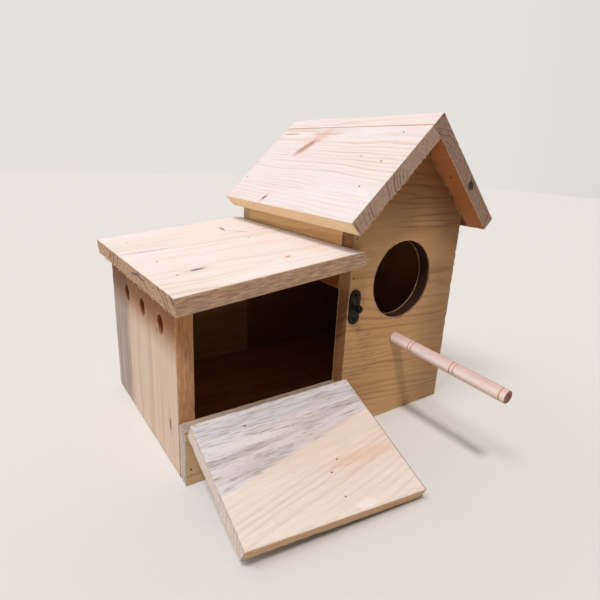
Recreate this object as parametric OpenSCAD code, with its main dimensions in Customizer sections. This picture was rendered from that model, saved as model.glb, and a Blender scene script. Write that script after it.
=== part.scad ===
// Nest box: a gabled tower with an entrance hole and perch, and a lower side box
// with a sloping roof, three vents and a drop-down front door, standing open.
// Millimetres. +Z up, the front faces -Y, X runs along the front.
// The origin is under the middle of the base.

/* [Overall] */
// Outside width of the whole box along its front
box_w = 250; // [180:1:320]
// Outside depth from the front face to the back face
box_d = 168; // [120:1:230]
// Outside width of the gabled tower
tower_w = 121; // [90:1:170]
// Board thickness of the walls, the floor, the sill and the low roof
board = 12; // [8:0.5:18]

/* [Gable roof] */
// Height of the ridge above the ground
ridge_z = 248; // [200:1:300]
// Pitch of the gable roof
pitch = 44; // [30:1:55]
// Thickness of the two gable boards
gable_t = 12.6; // [8:0.1:18]
// Length of the left gable board's top, measured from the ridge
gable_len_left = 108.4; // [90:0.1:140]
// Length of the right gable board's top, measured from the ridge
gable_len_right = 111.6; // [90:0.1:140]
// Reach of the gable boards in front of the front wall
gable_front = 17; // [0:0.5:40]
// Reach of the gable boards behind the back wall
gable_back = 4; // [0:0.5:30]

/* [Low roof] */
// Height of the side box at its left face, under its roof
box_z = 125; // [90:1:150]
// Slope of the low roof, rising towards the tower
low_pitch = 6.56; // [0:0.1:15]
// Reach of the low roof beyond the left wall, along its top
low_left = 9.2; // [2:0.1:30]
// Reach of the low roof in front of the front face
low_front = 12.6; // [0:0.1:30]
// Reach of the low roof behind the back face
low_back = 9; // [0:0.5:30]
// Length of the broken ear that passes in front of the tower's front wall
ear_len = 4.6; // [1:0.1:10]

/* [Openings] */
// Diameter of the entrance hole
hole_d = 64; // [30:1:70]
// Centre of the entrance hole, from the tower's left edge
hole_x = 57; // [40:0.5:80]
// Centre height of the entrance hole
hole_z = 122; // [95:1:150]
// Diameter of each vent hole in the left wall
vent_d = 14; // [5:0.5:20]
// Distance of the first vent's centre behind the front face
vent_y = 41.5; // [25:0.5:60]
// Spacing of the vents
vent_step = 40.5; // [20:0.5:50]
// Distance of the vents' centres below the top of the left wall
vent_drop = 23.5; // [15:0.5:40]
// Height of the lower edge of the tower's left wall, above the passage
passage_z = 118; // [80:1:122]

/* [Perch] */
// Diameter of the perch
perch_d = 10; // [6:0.5:16]
// Length of the perch in front of the front wall
perch_len = 105; // [50:1:140]
// Centre height of the perch where it meets the wall
perch_z = 71.5; // [40:0.5:85]
// Sag of the perch below level
perch_sag = 2.6; // [0:0.1:6]
// Depth of the perch's blind socket in the front wall
socket = 8; // [4:0.5:10]
// Depth of the turned rings round the perch
ring_depth = 0.6; // [0.2:0.1:1.5]

/* [Door] */
// Height of the sill under the door
sill_h = 41; // [20:0.5:70]
// Thickness of the door
door_t = 11; // [8:0.5:18]
// Gap between the closed door and the jamb, and under the low roof
door_gap = 2; // [1:0.1:5]
// Gap between the sill and the closed door
sill_gap = 0.6; // [0.4:0.1:2]
// Gap left between the ground and the open door's lowest corner
rest_gap = 0.1; // [0:0.05:1]

/* [Hinges] */
// Width of each hinge
hinge_w = 20; // [14:0.5:30]
// Height of each hinge leaf from the pin's centre
leaf_h = 10; // [7:0.5:14]
// Thickness of the hinge leaves
leaf_t = 1; // [0.6:0.1:1.4]
// Radius of the hinge knuckles
knuckle_r = 1.5; // [1.3:0.1:3]
// Radius of the hinge pins
pin_r = 0.7; // [0.5:0.05:1]
// Distance of each hinge's centre from the end of the door
hinge_in = 26; // [15:0.5:40]
// Depth of the pins' centres below the top of the sill
pin_drop = 0.4; // [-0.3:0.1:1]

/* [Catch] */
// Width of the catch plate
catch_w = 10.4; // [6:0.1:16]
// Length of the catch plate
catch_l = 27.4; // [18:0.1:40]
// Thickness of the catch plate
catch_t = 1.2; // [0.8:0.1:2]
// Distance of the catch plate's centre from the tower's left edge
catch_x = 6.4; // [6:0.1:12]
// Centre height of the catch plate
catch_z = 106; // [90:0.5:118]
// Radius of the catch knob
knob_r = 2.9; // [2:0.1:5]
// How far the knob stands in front of the plate
knob_reach = 7; // [4:0.5:12]

/* [Fits] */
// Radial clearance of a hinge pin in its knuckles
pin_clear = 0.06; // [0.02:0.01:0.1]
// Gap between neighbouring knuckles
knuckle_gap = 0.25; // [0.1:0.05:0.5]
// Radial clearance of a screw in its hole
screw_clear = 0.05; // [0.02:0.01:0.2]
// Gap left between the walls' sloping tops and the boards of both roofs
roof_seat = 0.02; // [0.01:0.01:0.3]
// Radial clearance of the perch in its socket
perch_clear = 0.1; // [0.05:0.05:0.3]
// Radius of the screw shanks
screw_r = 0.9; // [0.6:0.1:1.5]
// Radius of the screw heads
screw_head_r = 1.6; // [1.2:0.1:2.5]
// Length of the screws in the wood
screw_len = 6; // [3:0.5:8]

/* [Hidden] */
$fn = 64;
tower_x = box_w - tower_w;              // the tower's left face
inner_y = box_d - board;                // the inside of the back boards
low_s = tan(low_pitch);
low_v = board / cos(low_pitch);         // upright thickness of the low roof
ridge_x = tower_x + tower_w / 2;
under_z = ridge_z - gable_t / cos(pitch);   // inside of the ridge
vent_z = box_z - vent_drop;
perch_x = tower_x + hole_x - 1.5;
pivot = [-knuckle_r, sill_h - pin_drop];              // hinge axis, as y and z
door_w = tower_x - door_gap;
door_left = box_z - door_gap - sill_h - sill_gap;     // height of its left side
door_right = door_left + low_s * door_w;              // height of its right side
// how far the door swings from shut until its far corner meets the ground
corner = [knuckle_r, door_right + sill_gap + pin_drop];
reach = norm(corner);
open_deg = atan2(corner[0], corner[1]) + acos((rest_gap - pivot[1]) / reach);
hinge_xs = [hinge_in, door_w - hinge_in];
screw_dx = hinge_w / 2 - 4.5;
screw_dz = leaf_h - 3.8;
wood = [0.82, 0.66, 0.47];
pale = [0.9, 0.8, 0.64];
bronze = [0.2, 0.17, 0.14];

module placed() translate([-box_w / 2, -box_d / 2, 0]) children();

// A flat shape given in x and z, running back from y0 to y1
module along_y(y0, y1) translate([0, y1, 0]) rotate([90, 0, 0]) linear_extrude(y1 - y0) children();

// A round bar along Y from y0 to y1
module bar_y(r, y0, y1) translate([0, y1, 0]) rotate([90, 0, 0]) cylinder(r = r, h = y1 - y0);

// Height of the wall tops under the gable, of the low roof's underside and of the wall
// tops under the low roof
function gable_under(x) = under_z - roof_seat - abs(x - ridge_x) * tan(pitch);
function low_under(x) = box_z + low_s * x;
function low_seat(x) = low_under(x) - roof_seat;

// The tower's end shape under the gable
module tower_end() polygon([[tower_x, 0], [box_w, 0], [box_w, gable_under(box_w)],
  [ridge_x, gable_under(ridge_x)], [tower_x, gable_under(tower_x)]]);

// Turns the door's pieces from shut to standing open
module opened() translate([0, pivot[0], pivot[1]]) rotate([open_deg, 0, 0])
  translate([0, -pivot[0], -pivot[1]]) children();

module front_wall() color(wood) placed() difference() {
  along_y(0, board) tower_end();
  translate([tower_x + hole_x, 0, hole_z]) bar_y(hole_d / 2, -1, board + 1);
  translate([perch_x, 0, perch_z]) rotate([perch_sag, 0, 0]) bar_y(perch_d / 2 + perch_clear, -2, socket);
  catch_screw_places() bar_y(screw_r + screw_clear, -1, screw_len);
}

module back_wall() color(wood) placed() along_y(inner_y, box_d) tower_end();

module right_wall() color(wood) placed() along_y(board, inner_y)
  polygon([[box_w - board, 0], [box_w, 0], [box_w, gable_under(box_w)],
    [box_w - board, gable_under(box_w - board)]]);

module upper_left_wall() color(wood) placed() along_y(board, inner_y)
  polygon([[tower_x, passage_z], [tower_x + board, passage_z],
    [tower_x + board, gable_under(tower_x + board)], [tower_x, gable_under(tower_x)]]);

// Points on the gable, in x and z: along a slope from the ridge, then inwards
function slope_pt(side, along, inward) = [ridge_x + side * (along * cos(pitch) - inward * sin(pitch)),
  ridge_z - along * sin(pitch) - inward * cos(pitch)];
// where the right board's underside meets the left board's top
joint_pt = slope_pt(-1, gable_t / sin(2 * pitch), 0);

module roof_slab_left() color(pale) placed() along_y(-gable_front, box_d + gable_back)
  polygon([joint_pt, slope_pt(-1, gable_len_left, 0), slope_pt(-1, gable_len_left, gable_t),
    [ridge_x, under_z]]);

module roof_slab_right() color(pale) placed() along_y(-gable_front, box_d + gable_back)
  polygon([slope_pt(1, 0, 0), slope_pt(1, gable_len_right, 0),
    slope_pt(1, gable_len_right, gable_t), joint_pt]);

module floor_board() color(wood) placed()
  translate([board, board, 0]) cube([box_w - 2 * board, inner_y - board, board]);

module box_left_wall() color(wood) placed() difference() {
  along_y(board, box_d) polygon([[0, 0], [board, 0], [board, low_seat(board)], [0, low_seat(0)]]);
  for (i = [0:2]) translate([-1, vent_y + i * vent_step, vent_z])
    rotate([0, 90, 0]) cylinder(d = vent_d, h = board + 2);
}

module box_back_wall() color(wood) placed() along_y(inner_y, box_d)
  polygon([[board, 0], [tower_x, 0], [tower_x, low_seat(tower_x)], [board, low_seat(board)]]);

// A point of the low roof, in x and z: at x, this share of the way up through the board
function low_pt(x, up) = [x, low_under(x) + up * low_v];

// The low roof's section is cut square at the left and upright at the tower, with the
// points of a broken end past the tower's left face, if any
module low_section(end) polygon(concat([low_pt(-low_left + board * sin(low_pitch), 0),
  low_pt(tower_x, 0)], end, [low_pt(tower_x, 1), low_pt(-low_left, 1)]));

module box_roof() color(pale) placed() union() {
  along_y(-low_front, box_d + low_back) low_section([]);
  along_y(-low_front, 0) low_section([for (e = [[0.7, 0.05], [1, 0.2], [0.94, 0.42], [0.3, 0.83]])
    low_pt(tower_x + e[0] * ear_len, e[1])]);
}

module front_sill() color(wood) placed() difference() {
  cube([tower_x, board, sill_h]);
  for (x = hinge_xs) screw_places(x, -1) bar_y(screw_r + screw_clear, -1, screw_len);
}

// The door, drawn shut
module door_panel() color(wood) placed() opened() difference() {
  along_y(0, door_t) polygon([[0, sill_h + sill_gap], [door_w, sill_h + sill_gap],
    [door_w, sill_h + sill_gap + door_right], [0, sill_h + sill_gap + door_left]]);
  for (x = hinge_xs) screw_places(x, 1) bar_y(screw_r + screw_clear, -1, screw_len);
}

// The two screw places of a leaf: side is -1 below the pin and 1 above it
module screw_place(x, side, i) translate([x + i * screw_dx, 0, pivot[1] + side * screw_dz]) children();
module screw_places(x, side) for (i = [-1, 1]) screw_place(x, side, i) children();

// A knuckle round the pin between x0 and x1
module knuckle(x0, x1) translate([x0, pivot[0], pivot[1]]) rotate([0, 90, 0])
  cylinder(r = knuckle_r, h = x1 - x0);

// A leaf of the hinge centred at x: the sill's has the outer knuckles, the door's the middle one
module leaf(x, side) {
  third = hinge_w / 3;
  spans = side < 0 ? [[-hinge_w / 2, -third / 2 - knuckle_gap / 2], [third / 2 + knuckle_gap / 2, hinge_w / 2]]
    : [[-third / 2 + knuckle_gap / 2, third / 2 - knuckle_gap / 2]];
  z0 = pivot[1] + side * (knuckle_r + knuckle_gap);
  z1 = pivot[1] + side * leaf_h;
  difference() {
    union() {
      translate([x - hinge_w / 2, -leaf_t, min(z0, z1)]) cube([hinge_w, leaf_t, abs(z1 - z0)]);
      for (s = spans) {
        knuckle(x + s[0], x + s[1]);
        translate([x + s[0], -leaf_t, min(pivot[1], z0)]) cube([s[1] - s[0], leaf_t, abs(z0 - pivot[1])]);
      }
    }
    translate([x - hinge_w, pivot[0], pivot[1]]) rotate([0, 90, 0])
      cylinder(r = pin_r + pin_clear, h = 2 * hinge_w);
    screw_places(x, side) bar_y(screw_r + screw_clear, -leaf_t - 1, 1);
  }
}

module hinge_pin(x) color(bronze) placed() translate([x - hinge_w / 2, pivot[0], pivot[1]])
  rotate([0, 90, 0]) union() {
    cylinder(r = pin_r, h = hinge_w);
    translate([0, 0, -0.5]) cylinder(r = knuckle_r - 0.2, h = 0.5);
    translate([0, 0, hinge_w]) cylinder(r = knuckle_r - 0.2, h = 0.5);
  }

// A round-headed screw whose head sits on a plate of the given thickness
module screw(plate_t) rotate([90, 0, 0]) rotate_extrude() polygon([[0, -screw_len + 0.2],
  [screw_r, -screw_len + 0.2], [screw_r, plate_t], [screw_head_r, plate_t],
  [screw_head_r, plate_t + 0.3], [screw_head_r * 0.6, plate_t + 0.8], [0, plate_t + 0.9]]);

module sill_leaf(x) color(bronze) placed() leaf(x, -1);
module door_leaf(x) color(bronze) placed() opened() leaf(x, 1);
module sill_screw(x, i) color(bronze) placed() screw_place(x, -1, i) screw(leaf_t);
module door_screw(x, i) color(bronze) placed() opened() screw_place(x, 1, i) screw(leaf_t);

module hinge_left_sill_leaf() sill_leaf(hinge_xs[0]);
module hinge_right_sill_leaf() sill_leaf(hinge_xs[1]);
module hinge_left_door_leaf() door_leaf(hinge_xs[0]);
module hinge_right_door_leaf() door_leaf(hinge_xs[1]);
module hinge_left_pin() hinge_pin(hinge_xs[0]);
module hinge_right_pin() hinge_pin(hinge_xs[1]);
module hinge_left_sill_screw_1() sill_screw(hinge_xs[0], -1);
module hinge_left_sill_screw_2() sill_screw(hinge_xs[0], 1);
module hinge_right_sill_screw_1() sill_screw(hinge_xs[1], -1);
module hinge_right_sill_screw_2() sill_screw(hinge_xs[1], 1);
module hinge_left_door_screw_1() door_screw(hinge_xs[0], -1);
module hinge_left_door_screw_2() door_screw(hinge_xs[0], 1);
module hinge_right_door_screw_1() door_screw(hinge_xs[1], -1);
module hinge_right_door_screw_2() door_screw(hinge_xs[1], 1);

// The turned perch, with a pair of rings twice and one ring near its tip
module perch() color(pale) placed() translate([perch_x, 0, perch_z]) rotate([90 + perch_sag, 0, 0])
  rotate_extrude() polygon(concat([[0, -socket], [perch_d / 2, -socket]],
    [for (p = [20.2, 61.2, perch_len - 4.5]) for (o = p < 70 ? [-1.6, 1.6] : [0])
      for (q = [[-0.8, 0], [0, 1], [0.8, 0]]) [perch_d / 2 - q[1] * ring_depth, p + o + q[0]]],
    [[perch_d / 2, perch_len - 0.8], [perch_d / 2 - 0.8, perch_len], [0, perch_len]]));

// The catch plate's centre, and its two screw places near its rounded ends
module catch_place() translate([tower_x + catch_x, 0, catch_z]) children();
module catch_screw_place(i) catch_place() translate([0, 0, i * (catch_l / 2 - 4)]) children();
module catch_screw_places() for (i = [-1, 1]) catch_screw_place(i) children();

module catch_plate() color(bronze) placed() difference() {
  union() {
    catch_place() translate([-catch_w / 2, -catch_t, -(catch_l - catch_w) / 2])
      cube([catch_w, catch_t, catch_l - catch_w]);
    for (i = [-1, 1]) catch_place() translate([0, 0, i * (catch_l - catch_w) / 2])
      bar_y(catch_w / 2, -catch_t, 0);
  }
  catch_screw_places() bar_y(screw_r + screw_clear, -catch_t - 1, 1);
}

// A waisted post with a round knob that the door's hook catches on
module catch_post() color(bronze) placed() catch_place() translate([0, -catch_t, 0]) rotate([90, 0, 0])
  rotate_extrude() polygon([[0, 0], [knob_r * 0.8, 0], [knob_r * 0.5, 1], [knob_r * 0.5, knob_reach - 3.4],
    [knob_r * 0.9, knob_reach - 3], [knob_r, knob_reach - 1.8], [knob_r * 0.85, knob_reach - 0.6],
    [knob_r * 0.45, knob_reach], [0, knob_reach]]);

module catch_screw_upper() color(bronze) placed() catch_screw_place(1) screw(catch_t);
module catch_screw_lower() color(bronze) placed() catch_screw_place(-1) screw(catch_t);

front_wall();
back_wall();
right_wall();
upper_left_wall();
roof_slab_left();
roof_slab_right();
floor_board();
box_left_wall();
box_back_wall();
box_roof();
front_sill();
door_panel();
hinge_left_sill_leaf();
hinge_right_sill_leaf();
hinge_left_door_leaf();
hinge_right_door_leaf();
hinge_left_pin();
hinge_right_pin();
hinge_left_sill_screw_1();
hinge_left_sill_screw_2();
hinge_right_sill_screw_1();
hinge_right_sill_screw_2();
hinge_left_door_screw_1();
hinge_left_door_screw_2();
hinge_right_door_screw_1();
hinge_right_door_screw_2();
perch();
catch_plate();
catch_post();
catch_screw_upper();
catch_screw_lower();
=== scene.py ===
"""Looks of the pine nest box: worn boards cut from growth-ringed wood, a turned perch,
brads and a dark bronze catch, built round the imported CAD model."""
import math

import bmesh
import bpy
import numpy as np
from mathutils import Matrix, Vector


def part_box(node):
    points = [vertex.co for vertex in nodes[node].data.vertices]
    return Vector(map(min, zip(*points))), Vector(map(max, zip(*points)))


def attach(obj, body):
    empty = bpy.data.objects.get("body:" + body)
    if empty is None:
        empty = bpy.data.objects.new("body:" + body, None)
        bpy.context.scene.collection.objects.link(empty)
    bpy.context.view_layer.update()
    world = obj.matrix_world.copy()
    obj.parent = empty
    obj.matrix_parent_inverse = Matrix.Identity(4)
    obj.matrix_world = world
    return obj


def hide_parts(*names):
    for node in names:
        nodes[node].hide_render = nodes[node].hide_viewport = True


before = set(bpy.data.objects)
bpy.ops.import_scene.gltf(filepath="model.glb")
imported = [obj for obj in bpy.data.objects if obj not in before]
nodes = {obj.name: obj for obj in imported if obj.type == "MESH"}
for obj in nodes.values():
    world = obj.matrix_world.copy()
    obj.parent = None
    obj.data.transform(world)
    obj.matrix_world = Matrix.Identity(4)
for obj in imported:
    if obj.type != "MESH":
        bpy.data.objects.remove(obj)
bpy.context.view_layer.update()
MM = 0.001
scene = bpy.context.scene
X, Y, Z = (1, 0, 0), (0, 1, 0), (0, 0, 1)
FRONT, LEFT, DOWN = (0, -1, 0), (-1, 0, 0), (0, 0, -1)


# ------------------------------------------------------------------ numbers
def unit(v):
    return np.array(v, float) / np.linalg.norm(v)


def smoothstep(x, lo, hi):
    t = np.clip((x - lo) / (hi - lo), 0.0, 1.0)
    return t * t * (3 - 2 * t)


def lattice(i, j, k, seed):
    """A repeatable number from 0 to 1 for each lattice point, from an integer hash."""
    n = (i * 374761393 + j * 668265263 + k * 2147483647 + seed * 974634777) & 0xFFFFFFFF
    n = ((n ^ (n >> 13)) * 1274126177) & 0xFFFFFFFF
    n = ((n ^ (n >> 16)) * 2246822519) & 0xFFFFFFFF
    return (n ^ (n >> 15)) / 0xFFFFFFFF


def noise(p, seed=0):
    """Smooth value noise from -1 to 1 at the rows of p."""
    cell = np.floor(p).astype(np.int64)
    f = p - cell
    f = f * f * f * (f * (f * 6 - 15) + 10)
    total = np.zeros(len(p))
    for dx in (0, 1):
        for dy in (0, 1):
            for dz in (0, 1):
                weight = (np.where(dx, f[:, 0], 1 - f[:, 0]) * np.where(dy, f[:, 1], 1 - f[:, 1])
                          * np.where(dz, f[:, 2], 1 - f[:, 2]))
                total += weight * lattice(cell[:, 0] + dx, cell[:, 1] + dy, cell[:, 2] + dz, seed)
    return total * 2 - 1


# ------------------------------------------------------------------ shader graph helper
class Graph:
    """Small wrapper that builds a node tree from nested calls."""

    def __init__(self, name):
        self.mat = bpy.data.materials.new(name)
        self.mat.use_nodes = True
        self.tree = self.mat.node_tree
        self.tree.nodes.clear()

    def node(self, kind, **props):
        made = self.tree.nodes.new(kind)
        for key, value in props.items():
            setattr(made, key, value)
        return made

    def put(self, socket, value):
        if isinstance(value, bpy.types.NodeSocket):
            self.tree.links.new(value, socket)
        elif value is not None:
            socket.default_value = value

    def math(self, op, *values, clamp=False):
        n = self.node("ShaderNodeMath", operation=op, use_clamp=clamp)
        for socket, value in zip(n.inputs, values):
            self.put(socket, value)
        return n.outputs[0]

    def add(self, *values):
        total = values[0]
        for value in values[1:]:
            total = self.math("ADD", total, value)
        return total

    def mul(self, *values):
        total = values[0]
        for value in values[1:]:
            total = self.math("MULTIPLY", total, value)
        return total

    def dot(self, a, b):
        n = self.node("ShaderNodeVectorMath", operation="DOT_PRODUCT")
        self.put(n.inputs[0], a)
        self.put(n.inputs[1], b)
        return n.outputs["Value"]

    def combine(self, x, y, z):
        n = self.node("ShaderNodeCombineXYZ")
        for socket, value in zip(n.inputs, (x, y, z)):
            self.put(socket, value)
        return n.outputs[0]

    def scaled(self, vector, by):
        n = self.node("ShaderNodeVectorMath", operation="MULTIPLY")
        self.put(n.inputs[0], vector)
        self.put(n.inputs[1], by)
        return n.outputs[0]

    def noise(self, vector, by=(1, 1, 1), detail=2.0, rough=0.5):
        n = self.node("ShaderNodeTexNoise", noise_dimensions="3D")
        self.put(n.inputs["Vector"], self.scaled(vector, by))
        self.put(n.inputs["Scale"], 1.0)
        self.put(n.inputs["Detail"], detail)
        self.put(n.inputs["Roughness"], rough)
        return n.outputs[0]

    def sway(self, vector, by, detail, size):
        """Noise centred on nought, so that it pushes a line both ways by up to half of size."""
        return self.mul(self.add(self.noise(vector, by, detail), -0.5), size)

    def length(self, a, b):
        return self.math("SQRT", self.add(self.mul(a, a), self.mul(b, b)))

    def smooth(self, value, lo, hi, to_lo=0.0, to_hi=1.0):
        n = self.node("ShaderNodeMapRange", interpolation_type="SMOOTHSTEP")
        for socket, v in zip(n.inputs[:5], (value, lo, hi, to_lo, to_hi)):
            self.put(socket, v)
        return n.outputs[0]

    def mix(self, fac, a, b, blend="MIX"):
        n = self.node("ShaderNodeMix", data_type="RGBA", blend_type=blend, clamp_factor=True)
        self.put(n.inputs[0], fac)
        self.put(n.inputs[6], rgba(a))
        self.put(n.inputs[7], rgba(b))
        return n.outputs[2]

    def ramp(self, fac, stops):
        n = self.node("ShaderNodeValToRGB")
        ramp = n.color_ramp
        ramp.interpolation = "EASE"
        while len(ramp.elements) < len(stops):
            ramp.elements.new(0.5)
        for element, (place, level) in zip(ramp.elements, stops):
            element.position = place
            element.color = (level, level, level, 1)
        self.put(n.inputs[0], fac)
        return n.outputs[0]

    def attribute(self, name):
        return self.node("ShaderNodeAttribute", attribute_name=name).outputs["Fac"]

    def finish(self, colour, roughness, height, specular=0.3, metallic=0.0):
        """The material itself. The height is in millimetres."""
        bump = self.node("ShaderNodeBump")
        self.put(bump.inputs["Strength"], 1.0)
        self.put(bump.inputs["Distance"], MM)
        self.put(bump.inputs["Height"], height)
        shader = self.node("ShaderNodeBsdfPrincipled")
        self.put(shader.inputs["Base Color"], colour)
        self.put(shader.inputs["Roughness"], roughness)
        self.put(shader.inputs["Metallic"], metallic)
        self.put(shader.inputs["Specular IOR Level"], specular)
        self.put(shader.inputs["Normal"], bump.outputs[0])
        out = self.node("ShaderNodeOutputMaterial")
        self.tree.links.new(shader.outputs[0], out.inputs[0])
        return self.mat


def rgba(value):
    """A colour given as sRGB 0-255, as the linear colour that a socket takes."""
    if not isinstance(value, tuple):
        return value
    linear = [c / 255 / 12.92 if c <= 10 else ((c / 255 + 0.055) / 1.055) ** 2.4 for c in value]
    return tuple(linear) + (1.0,)


def add_edge_distance(mesh, distances):
    """Stores each point's distance in millimetres from the nearest sharp edge, for wear."""
    layer = mesh.attributes.new("edge_mm", "FLOAT", "POINT")
    layer.data.foreach_set("value", distances.astype(np.float32))


def distance_to_lines(points, lines):
    """Each point's distance from the nearest of the line segments, in metres."""
    nearest = np.full(len(points), 1.0)
    for a, b in lines:
        line = b - a
        t = np.clip(((points - a) @ line) / (line @ line), 0, 1)
        nearest = np.minimum(nearest, np.linalg.norm(points - a - t[:, None] * line, axis=1))
    return nearest


def points_of(node):
    return np.array([list(v.co) for v in nodes[node].data.vertices])


def facet_normal(node, towards):
    """The outward direction of the largest face of a CAD board that looks roughly that way."""
    faces = [p for p in nodes[node].data.polygons if p.normal.dot(Vector(towards)) > 0.5]
    return np.array(max(faces, key=lambda p: p.area).normal)


def clean_solid(node, sharp_degrees):
    """The CAD solid with its flat faces joined up, and its sharp edges."""
    bm = bmesh.new()
    bm.from_mesh(nodes[node].data)
    bmesh.ops.remove_doubles(bm, verts=bm.verts, dist=1e-6)
    bmesh.ops.dissolve_limit(bm, angle_limit=math.radians(1), verts=bm.verts, edges=bm.edges)
    sharp = [e for e in bm.edges
             if len(e.link_faces) == 2 and e.calc_face_angle() > math.radians(sharp_degrees)]
    lines = np.array([[list(e.verts[0].co), list(e.verts[1].co)] for e in sharp])
    return bm, sharp, lines


# ------------------------------------------------------------------ pine
BOARD_MM = 12.0           # the thickness of every board
ARRIS_MM = 0.45           # how far a board's edges are eased
EDGE_CUT_MM = 1.1         # the last cut in from each side, so that wear stays on the edge


def pine(name, axes, corner, spec):
    """Pine cut from a log that runs along the grain axis: growth rings, fibres, knots, stains,
    end grain and worn edges, with painted shade in rooms, holes and under overhangs, painted
    shadows and painted light where the spec asks. u runs along the grain, v across the board
    and w through it towards its outer face, in millimetres from the board's corner."""
    g = Graph(name)
    coords = g.node("ShaderNodeTexCoord")
    u, v, w = (g.add(g.dot(coords.outputs["Object"], tuple(float(a) / MM for a in axis)), -float(c) / MM)
               for axis, c in zip(axes, corner))
    place = g.combine(u, v, w)
    shifted = g.node("ShaderNodeVectorMath", operation="ADD")
    g.put(shifted.inputs[0], place)
    g.put(shifted.inputs[1], spec.get("shift", (0.0, 0.0, 0.0)))
    p = shifted.outputs[0]

    # distance from the log's pith, bent by slow waves and by the knots
    wave = g.sway(p, (0.006, 0.02, 0.02), 2.0, spec["wave"])
    ripple = g.sway(p, (0.022, 0.09, 0.09), 2.0, spec["ripple"])
    pith_v, pith_w = spec["pith"]
    radius = g.length(g.add(v, -pith_v, g.mul(u, spec["slope"]), wave), g.add(w, -pith_w, ripple))

    def oval(at_u, at_v, half_u, half_v, turn, rim):
        """Distance from an oval's centre, 1 at its edge, with a ragged rim."""
        c, s = math.cos(turn), math.sin(turn)
        du, dv = g.add(u, -at_u), g.add(v, -at_v)
        a = g.mul(g.add(g.mul(du, c), g.mul(dv, s)), 1 / half_u)
        b = g.mul(g.add(g.mul(dv, c), g.mul(du, -s)), 1 / half_v)
        return g.add(g.length(a, b), rim)

    # knots lift the rings round them: (u, v, half length, half width, turn, darkness)
    knot_mask, halo_mask = None, None
    for ku, kv, ru, rv, turn, dark in spec.get("knots", ()):
        d = oval(ku, kv, ru, rv, turn, g.sway(p, (0.35, 0.5, 0.5), 3.0, 0.7))
        lift = g.mul(g.math("EXPONENT", g.mul(d, d, -0.16)), min(ru, rv) * 1.3)
        radius = g.add(radius, lift)
        inside = g.mul(g.smooth(d, 1.15, 0.75), dark)
        halo = g.mul(g.smooth(d, 3.2, 1.0), dark)
        knot_mask = inside if knot_mask is None else g.math("MAXIMUM", knot_mask, inside)
        halo_mask = halo if halo_mask is None else g.math("MAXIMUM", halo_mask, halo)

    # one ring a year: pale early wood, then a dark late band, in years of uneven width
    uneven = g.mul(g.noise(g.combine(g.mul(radius, 0.07), 0.0, 0.0), (1, 1, 1), 2.0), 2.4)
    phase = g.add(g.mul(radius, 1 / spec["ring"]), uneven)
    late = g.ramp(g.math("FRACT", phase),
                  [(0.0, 0.25), (0.12, 0.0), (0.5, 0.1), (0.82, 0.95), (0.93, 1.0), (1.0, 0.25)])
    year = g.node("ShaderNodeTexWhiteNoise", noise_dimensions="1D")
    g.put(year.inputs["W"], g.math("FLOOR", phase))
    late = g.mul(late, g.smooth(year.outputs[0], 0.0, 1.0, 0.35, 1.0))
    patchy = g.smooth(g.noise(p, (0.008, 0.03, 0.03), 2.0), 0.3, 0.65, 0.25, 1.0)
    late = g.mul(late, patchy)

    # fibres and pores along the grain
    fine = g.noise(p, (0.05, 2.6, 2.6), 3.0, 0.6)
    streak = g.noise(p, (0.012, 0.5, 0.5), 3.0, 0.55)
    speck = g.noise(p, (0.9, 2.2, 2.2), 2.0, 0.6)
    pores = g.smooth(g.noise(p, (0.16, 2.4, 2.4), 1.0), 0.68, 0.80)
    broad = g.noise(p, (0.006, 0.028, 0.028), 2.0)

    colour = g.mix(g.smooth(broad, 0.32, 0.68), spec["pale"], spec["tint"])
    band = g.math("MINIMUM", g.add(g.mul(late, spec["contrast"]), g.mul(g.add(streak, -0.5), 0.5)), 1.0)
    colour = g.mix(g.math("MAXIMUM", band, 0.0), colour, spec["late"])
    colour = g.mix(g.mul(pores, spec.get("pores", 0.25)), colour, (120, 86, 58))

    # stains run with the grain: (v centre, half width, drift of v with u, colour, strength)
    for sv, half, drift, stain, strength in spec.get("stains", ()):
        edge = g.sway(p, (0.012, 0.05, 0.05), 3.0, half * 1.2)
        off = g.math("ABSOLUTE", g.add(v, -sv, g.mul(u, -drift), edge))
        mask = g.mul(g.smooth(off, half * 1.15, half * 0.6), g.smooth(streak, 0.3, 0.62, 0.35, 1.0), strength)
        colour = g.mix(mask, colour, stain, "MULTIPLY")

    if knot_mask is not None:
        colour = g.mix(g.mul(halo_mask, 0.3), colour, spec.get("halo", (205, 150, 105)), "MULTIPLY")
        rings = g.math("FRACT", g.mul(phase, 3.0))
        core = g.mix(g.smooth(rings, 0.2, 0.9),
                     spec.get("knot", (112, 84, 72)), spec.get("knot_dark", (70, 50, 46)))
        colour = g.mix(knot_mask, colour, core)

    # changes of tone along one axis: (axis, from, to, tone, lean against the grain). Those that
    # don't lean are painted shade: shadow under overhangs, the low roof and the open door, a darker
    # right edge on the front wall, and a darker top and underside on the perch. One that leans has
    # a ragged border, and what lies beyond it is the weathered part of the board, its own colour.
    weathered = None
    for at, lo, hi, tone, lean in spec.get("painted_shade_and_weathering", ()):
        drift = g.sway(p, (0.03, 0.25, 0.25), 3.0, 5.0 if lean else 0.0)
        mask = g.smooth(g.add((u, v, w)[at], g.mul(u, -lean), drift), lo, hi)
        colour = g.mix(mask, colour, tone, "MULTIPLY")
        if lean:
            weathered = mask

    # torn grain: short dark dashes inside an oval (u, v, half length, half width, strength)
    for tu, tv, ru, rv, strength in spec.get("torn", ()):
        a, b = g.mul(g.add(u, -tu), 1 / ru), g.mul(g.add(v, -tv), 1 / rv)
        zone = g.smooth(g.add(g.mul(a, a), g.mul(b, b)), 1.25, 0.5)
        if weathered is not None:
            zone = g.mul(zone, weathered)
        dashes = g.smooth(g.noise(p, (0.07, 0.95, 0.95), 3.0, 0.6), 0.5, 0.7)
        colour = g.mix(g.mul(zone, dashes, strength), colour, spec.get("torn_tone", (104, 78, 62)))

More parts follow.
